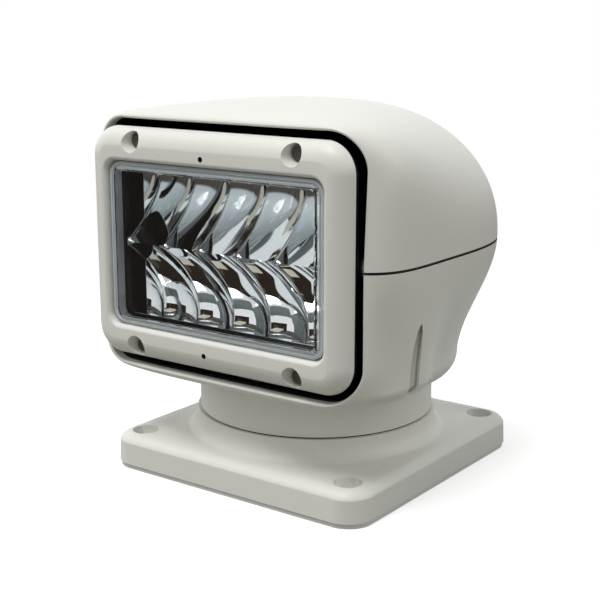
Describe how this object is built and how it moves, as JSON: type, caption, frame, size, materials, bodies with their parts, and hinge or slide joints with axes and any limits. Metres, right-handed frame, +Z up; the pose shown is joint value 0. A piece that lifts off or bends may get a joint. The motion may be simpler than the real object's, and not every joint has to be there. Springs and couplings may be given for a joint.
{
  "type": "marine searchlight",
  "caption": "Remote-control marine searchlight: rounded off-white head panning on a square screw-down foot, with a rectangular reflector lamp tilting in its front opening.",
  "frame": {"origin": "centre of the four deck holes on the foot's underside, on the pan axis", "axes": "+Z up along the pan axis, the lamp faces -Y at rest, +X to the lamp's left as it looks out, which is the right-hand side of the picture"},
  "size_m": [0.212, 0.1895, 0.218],
  "materials": {
    "ivory_plastic": "satin moulded ASA, off-white",
    "rubber": "matte black rubber",
    "alloy": "plain turned and bent alloy",
    "steel": "stainless fasteners and motor cans",
    "black_casting": "black anodised die casting",
    "acetal": "natural white acetal",
    "board": "green solder mask",
    "lens": "clear polycarbonate",
    "reflector": "moulded plastic with a vacuum-metallised mirror coat",
    "led": "yellow phosphor",
    "black_plastic": "black moulded slip-ring capsule"
  },
  "bodies": {
    "base": {"base_plate": "ivory_plastic", "base_cover": "ivory_plastic", "base_cover_screws": "steel", "cable_grommet": "rubber", "pan_post": "alloy", "post_screws": "steel", "pan_gear": "acetal", "thrust_washer": "acetal", "post_nut": "steel", "slip_ring_body": "black_plastic", "neck_seal": "rubber"},
    "head": {"turntable": "alloy", "pan_bush": "acetal", "turntable_screws": "steel", "lower_housing": "ivory_plastic", "housing_gasket": "rubber", "upper_cover": "ivory_plastic", "cover_screws": "steel", "pan_motor": "steel", "post_cap": "alloy", "slip_ring_rotor": "black_plastic", "control_board": "board", "board_posts": "steel", "motor_bracket": "alloy", "tilt_motor": "steel", "tilt_brackets": "alloy", "bracket_screws": "steel", "tilt_bushes": "acetal"},
    "lamp": {"lamp_frame": "ivory_plastic", "frame_screws": "steel", "lens": "lens", "lens_gasket": "rubber", "lamp_body": "black_casting", "reflector": "reflector", "led_boards": "board", "leds": "led", "trunnions": "steel", "tilt_sector": "acetal", "sector_screws": "steel"},
    "pan_drive": {"pan_pinion": "steel"},
    "tilt_drive": {"tilt_pinion": "steel"}
  },
  "joints": [
    {"name": "pan", "type": "hinge", "parent": "base", "child": "head", "pos_m": [0, 0, 0.04], "axis": [0, 0, 1], "continuous": true},
    {"name": "tilt", "type": "hinge", "parent": "head", "child": "lamp", "pos_m": [0, -0.07, 0.139], "axis": [1, 0, 0], "range_deg": [-20, 20]},
    {"name": "pan_pinion_spin", "type": "hinge", "parent": "head", "child": "pan_drive", "pos_m": [0, 0.042, 0.02], "axis": [0, 0, 1], "continuous": true},
    {"name": "tilt_pinion_spin", "type": "hinge", "parent": "head", "child": "tilt_drive", "pos_m": [0.084, -0.018, 0.139], "axis": [1, 0, 0], "range_deg": [-112, 112]}
  ],
  "couplings": [
    {"joint": "pan_pinion_spin", "follows": "pan", "ratio": 4.25},
    {"joint": "tilt_pinion_spin", "follows": "tilt", "ratio": -5.5}
  ]
}
